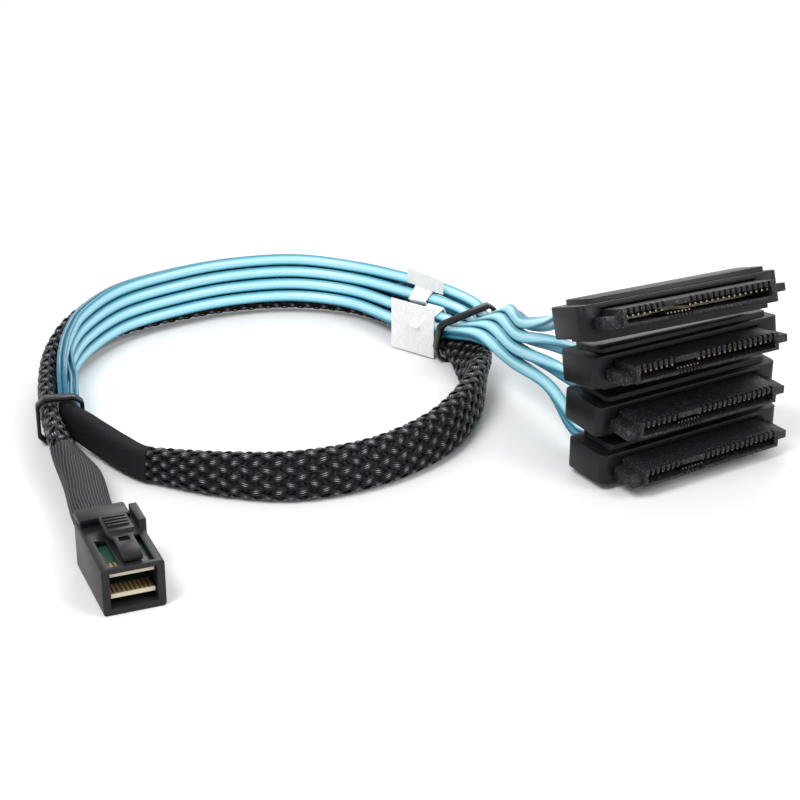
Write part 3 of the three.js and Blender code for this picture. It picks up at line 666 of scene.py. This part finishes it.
def strand_material():
    """Bundle of fine glossy filaments, with a painted highlight on the middle of each strand where it
    passes over.
    """
    material, tree, bsdf = shade("braid_strand")
    _, across = run_map(tree)
    lift = node(tree, "ShaderNodeAttribute", attribute_name="lift").outputs["Fac"]
    wobble = maths(tree, "MULTIPLY", noise(tree, 700.0), 0.10)
    place = maths(tree, "ADD", across, wobble)
    threads = maths(tree, "SINE", maths(tree, "MULTIPLY", place, FILAMENT_WAVE))
    fine = maths(tree, "MULTIPLY_ADD", threads, 0.5)
    fine.node.inputs[2].default_value = 0.5
    # Painted highlight: the colour goes from near black up to light grey on the middle of a strand where
    # it passes over, brightest along the filament lines; where it passes under it stays near black.
    off = maths(tree, "ABSOLUTE", maths(tree, "SUBTRACT", across, 0.5))
    middle = maths(tree, "SUBTRACT", 1.0, maths(tree, "MULTIPLY", off, 1.7))
    painted_crest_highlight = maths(tree, "MULTIPLY", maths(tree, "POWER", lift, 2.6), middle)
    painted_highlight = maths(tree, "MULTIPLY", painted_crest_highlight, maths(tree, "ADD", maths(tree, "MULTIPLY", fine, 0.7), 0.3))
    colour = ramp(tree, painted_highlight, [
        (0.0, (0.002, 0.002, 0.003)),
        (0.34, (0.006, 0.006, 0.008)),
        (0.62, (0.16, 0.15, 0.18)),
        (0.9, (0.52, 0.50, 0.57)),
    ])
    tree.links.new(colour, bsdf.inputs["Base Color"])
    bsdf.inputs["Roughness"].default_value = 0.34
    bsdf.inputs["Specular IOR Level"].default_value = 0.18
    bump(tree, bsdf, fine, 0.08)
    return material


def tape_plug_material():
    """Cloth tape with fine light ridges that run along it."""
    material, tree, bsdf = shade("cloth_tape_ridged")
    along, across = run_map(tree)
    drift = maths(tree, "MULTIPLY", noise(tree, 260.0), 0.030)
    place = maths(tree, "ADD", across, drift)
    ridges = maths(tree, "SINE", maths(tree, "MULTIPLY", place, 2 * math.pi * TAPE_RIDGES))
    ridges = maths(tree, "MULTIPLY_ADD", ridges, 0.5)
    ridges.node.inputs[2].default_value = 0.5
    picks = maths(tree, "SINE", maths(tree, "MULTIPLY", along, 2 * math.pi / TAPE_PICK))
    mixed = maths(tree, "ADD", maths(tree, "MULTIPLY", ridges, 0.8), maths(tree, "MULTIPLY", picks, 0.12))
    tree.links.new(
        ramp(tree, mixed, [
            (0.20, (0.004, 0.004, 0.005)),
            (0.62, (0.014, 0.014, 0.016)),
            (0.88, (0.085, 0.085, 0.092)),
        ]),
        bsdf.inputs["Base Color"],
    )
    bsdf.inputs["Roughness"].default_value = 0.62
    bsdf.inputs["Specular IOR Level"].default_value = 0.24
    bump(tree, bsdf, mixed, 0.10)
    return material


def tape_breakout_material():
    """Matt cloth tape with a fine plain weave."""
    material, tree, bsdf = shade("cloth_tape_woven")
    along, across = run_map(tree)
    warp = maths(tree, "SINE", maths(tree, "MULTIPLY", across, 2 * math.pi * WARP_THREADS))
    weft = maths(tree, "SINE", maths(tree, "MULTIPLY", along, 2 * math.pi / WEFT_PITCH))
    weave = maths(tree, "MULTIPLY", warp, weft)
    weave = maths(tree, "MULTIPLY_ADD", weave, 0.5)
    weave.node.inputs[2].default_value = 0.5
    tree.links.new(
        ramp(tree, weave, [(0.2, (0.004, 0.004, 0.005)), (0.8, (0.018, 0.018, 0.020))]),
        bsdf.inputs["Base Color"],
    )
    bsdf.inputs["Roughness"].default_value = 0.85
    bsdf.inputs["Specular IOR Level"].default_value = 0.16
    bump(tree, bsdf, weave, 0.09)
    return material


def ribbon_material():
    """Semi-gloss cyan jacket with painted shade darkening it towards its edges, and painted light making
    it pale over the back of the loop; deeper blue along the leads after the right tie.
    """
    material, tree, bsdf = shade("ribbon_jacket")
    along, across = run_map(tree)
    off = maths(tree, "ABSOLUTE", maths(tree, "SUBTRACT", across, ACROSS_MIDDLE))
    # Painted shade: the jacket darkens from its light middle towards both edges.
    edge = ramp(tree, maths(tree, "MULTIPLY", off, 5.0), [
        (0.0, (0.50, 0.82, 0.90)),
        (0.45, (0.32, 0.68, 0.80)),
        (0.78, (0.07, 0.34, 0.46)),
        (1.0, (0.010, 0.12, 0.20)),
    ])
    # Painted light: the jacket is pale over the middle of the run and deeper blue near its ends, most
    # after the right tie.
    painted_pale_to_deep = ramp(tree, maths(tree, "DIVIDE", along, 320.0), [
        (0.0, grey(0.25)), (0.12, grey(0.0)), (0.66, grey(0.0)), (0.80, grey(0.85)), (1.0, grey(0.6)),
    ])
    mix = node(tree, "ShaderNodeMix", data_type="RGBA", blend_type="MIX")
    tree.links.new(painted_pale_to_deep, mix.inputs["Factor"])
    tree.links.new(edge, mix.inputs["A"])
    # The deeper blue also carries painted shade that darkens it towards both edges.
    deep = ramp(tree, maths(tree, "MULTIPLY", off, 5.0), [
        (0.0, (0.10, 0.42, 0.66)),
        (0.75, (0.04, 0.24, 0.44)),
        (1.0, (0.01, 0.09, 0.18)),
    ])
    tree.links.new(deep, mix.inputs["B"])
    tree.links.new(mix.outputs["Result"], bsdf.inputs["Base Color"])
    bsdf.inputs["Roughness"].default_value = 0.3
    middle = maths(tree, "SUBTRACT", across, ACROSS_MIDDLE)
    wires = maths(tree, "COSINE", maths(tree, "MULTIPLY", middle, WIRE_WAVE))
    bump(tree, bsdf, wires, 0.05)
    return material


def paper_material():
    material, tree, bsdf = shade("label_paper")
    cloud, grain = cloud_and_grain(tree, 1400.0, 2600.0)
    colour = ramp(tree, cloud, [(0.3, (0.80, 0.80, 0.79)), (0.7, (0.90, 0.90, 0.89))])
    tree.links.new(colour, bsdf.inputs["Base Color"])
    bsdf.inputs["Roughness"].default_value = 0.75
    bump(tree, bsdf, grain, 0.02)
    return material


def card_material():
    """Circuit board: green solder mask, copper pads near the front and cream cut edges."""
    material, tree, bsdf = shade("circuit_board")
    coordinates = node(tree, "ShaderNodeTexCoord").outputs["Object"]
    place = node(tree, "ShaderNodeMapping", vector_type="TEXTURE")
    place.inputs["Location"].default_value = (-56.5 * MM, -39.3 * MM, 0)
    place.inputs["Rotation"].default_value = (0, 0, math.radians(22.3))
    tree.links.new(coordinates, place.inputs["Vector"])
    split = node(tree, "ShaderNodeSeparateXYZ")
    tree.links.new(place.outputs[0], split.inputs[0])
    x, y = split.outputs[0], split.outputs[1]
    wave = maths(tree, "SINE", maths(tree, "MULTIPLY", x, 2 * math.pi / (PAD_PITCH * MM)))
    stripes = maths(tree, "GREATER_THAN", wave, -0.1)
    near = maths(tree, "LESS_THAN", y, PAD_END * MM)
    edge = maths(tree, "LESS_THAN", y, CARD_EDGE_END * MM)
    pads = maths(tree, "MULTIPLY", stripes, near)
    mask = ramp(tree, noise(tree, 1500.0), [(0.3, (0.010, 0.055, 0.030)), (0.7, (0.020, 0.085, 0.045))])
    copper = node(tree, "ShaderNodeMix", data_type="RGBA")
    tree.links.new(pads, copper.inputs["Factor"])
    tree.links.new(mask, copper.inputs["A"])
    copper.inputs["B"].default_value = (0.42, 0.20, 0.09, 1)
    cream = node(tree, "ShaderNodeMix", data_type="RGBA")
    tree.links.new(edge, cream.inputs["Factor"])
    tree.links.new(copper.outputs["Result"], cream.inputs["A"])
    cream.inputs["B"].default_value = (0.62, 0.56, 0.40, 1)
    tree.links.new(cream.outputs["Result"], bsdf.inputs["Base Color"])
    bsdf.inputs["Roughness"].default_value = 0.38
    return material


def metal_material(name, low, high, roughness):
    material, tree, bsdf = shade(name)
    cloud, grain = cloud_and_grain(tree, 1200.0, 2400.0)
    tree.links.new(ramp(tree, cloud, [(0.3, low), (0.7, high)]), bsdf.inputs["Base Color"])
    bsdf.inputs["Metallic"].default_value = 1.0
    bsdf.inputs["Roughness"].default_value = roughness
    bump(tree, bsdf, grain, 0.01)
    return material


core_dark = core_material()
strand_gloss = strand_material()
ridged_cloth = tape_plug_material()
woven_cloth = tape_breakout_material()
ribbon_jacket = ribbon_material()
label_paper = paper_material()
circuit_board = card_material()
spring_metal = metal_material("spring_metal", (0.50, 0.48, 0.44), (0.68, 0.66, 0.62), 0.28)
# The contact metal's dark colour is painted shade for the recessed windows the contacts sit in.
contact_metal = metal_material("contact_metal", (0.15, 0.13, 0.10), (0.27, 0.24, 0.19), 0.42)


def dress(material, slot, *objects):
    for obj in objects:
        if not obj.data.materials:
            obj.data.materials.append(material)
        else:
            for i in range(len(obj.data.materials)):
                obj.data.materials[i] = material


def cad(name):
    return bpy.data.objects[name]


dress(core_dark, "braid", core)
dress(strand_gloss, "braid", braid_right, braid_left)
dress(ridged_cloth, "cloth_tape", tape_plug)
dress(woven_cloth, "cloth_tape", tape_breakout)
dress(ribbon_jacket, "ribbon_jacket", *[r[0] for r in ribbons])
dress(plug_plastic, "charcoal_plastic", plug_body)
dress(black_plastic, "black_plastic", plug_lid, lever, relief, cad("card_spacer"), *housings)
dress(nose_plastic, "charcoal_plastic", *noses)
dress(strap_plastic, "tie_strap", strap_left, strap_right)
dress(label_paper, "label_paper", flag_upper, flag_lower)
dress(circuit_board, "circuit_board", cad("paddle_card_upper"), cad("paddle_card_lower"))
dress(spring_metal, "spring_metal", cad("latch_spring"))
dress(contact_metal, "contact_metal", *[cad(f"contact_board_{k}") for k in range(1, 5)])


# Floor, light and background
def bright_behind(tree):
    """One for what the camera sees and what metal and glass reflect, nought for other light."""
    path = node(tree, "ShaderNodeLightPath")
    seen = maths(tree, "MAXIMUM", path.outputs["Is Camera Ray"], path.outputs["Is Glossy Ray"])
    return maths(tree, "MAXIMUM", seen, path.outputs["Is Transmission Ray"])


bpy.ops.object.select_all(action="DESELECT")
bpy.ops.mesh.primitive_plane_add(size=6.0, location=(0, 0, -0.0001))
floor = bpy.context.active_object
floor.name = "floor"
floor_material, floor_tree, floor_bsdf = shade("floor_white")
floor_bsdf.inputs["Base Color"].default_value = (0.86, 0.86, 0.86, 1)
floor_bsdf.inputs["Roughness"].default_value = 0.9
floor_bsdf.inputs["Specular IOR Level"].default_value = 0.1
floor_reach = node(floor_tree, "ShaderNodeVectorMath", operation="LENGTH")
floor_tree.links.new(node(floor_tree, "ShaderNodeTexCoord").outputs["Object"], floor_reach.inputs[0])
floor_far = node(floor_tree, "ShaderNodeMapRange")
floor_far.inputs["From Min"].default_value = 0.22
floor_far.inputs["From Max"].default_value = 0.50
floor_tree.links.new(floor_reach.outputs["Value"], floor_far.inputs["Value"])
floor_white = node(floor_tree, "ShaderNodeEmission")
floor_mix = node(floor_tree, "ShaderNodeMixShader")
floor_seen = bright_behind(floor_tree)
floor_tree.links.new(maths(floor_tree, "MULTIPLY", floor_far.outputs[0], floor_seen), floor_mix.inputs[0])
floor_tree.links.new(floor_bsdf.outputs[0], floor_mix.inputs[1])
floor_tree.links.new(floor_white.outputs[0], floor_mix.inputs[2])
for shader_out in floor_tree.nodes:
    if shader_out.type == "OUTPUT_MATERIAL":
        floor_tree.links.new(floor_mix.outputs[0], shader_out.inputs[0])
floor.data.materials.append(floor_material)

world = bpy.data.worlds.new("studio")
bpy.context.scene.world = world
world.use_nodes = True
world_tree = world.node_tree
world_tree.nodes.clear()
world_out = node(world_tree, "ShaderNodeOutputWorld")
plain = node(world_tree, "ShaderNodeBackground")
plain.inputs["Color"].default_value = (1, 1, 1, 1)
plain.inputs["Strength"].default_value = 0.55
white = node(world_tree, "ShaderNodeBackground")
white.inputs["Color"].default_value = (1, 1, 1, 1)
white.inputs["Strength"].default_value = 1.0
background_mix = node(world_tree, "ShaderNodeMixShader")
world_tree.links.new(bright_behind(world_tree), background_mix.inputs[0])
world_tree.links.new(plain.outputs[0], background_mix.inputs[1])
world_tree.links.new(white.outputs[0], background_mix.inputs[2])
world_tree.links.new(background_mix.outputs[0], world_out.inputs[0])


def lamp(name, place, towards, size, power):
    data = bpy.data.lights.new(name, "AREA")
    data.shape = "DISK"
    data.size = size
    data.energy = power
    obj = bpy.data.objects.new(name, data)
    obj.location = place
    obj.rotation_euler = (Vector(towards) - Vector(place)).to_track_quat("-Z", "Y").to_euler()
    bpy.context.collection.objects.link(obj)


lamp("key_light", (-0.35, -0.35, 0.75), (0, 0.02, 0), 0.45, 5.0)
lamp("fill_light", (0.55, -0.25, 0.5), (0, 0.02, 0), 0.5, 2.6)
lamp("back_light", (0.05, 0.75, 0.55), (0, 0.03, 0), 0.5, 3.0)

bpy.context.scene.view_settings.view_transform = "Standard"

bpy.context.view_layer.update()
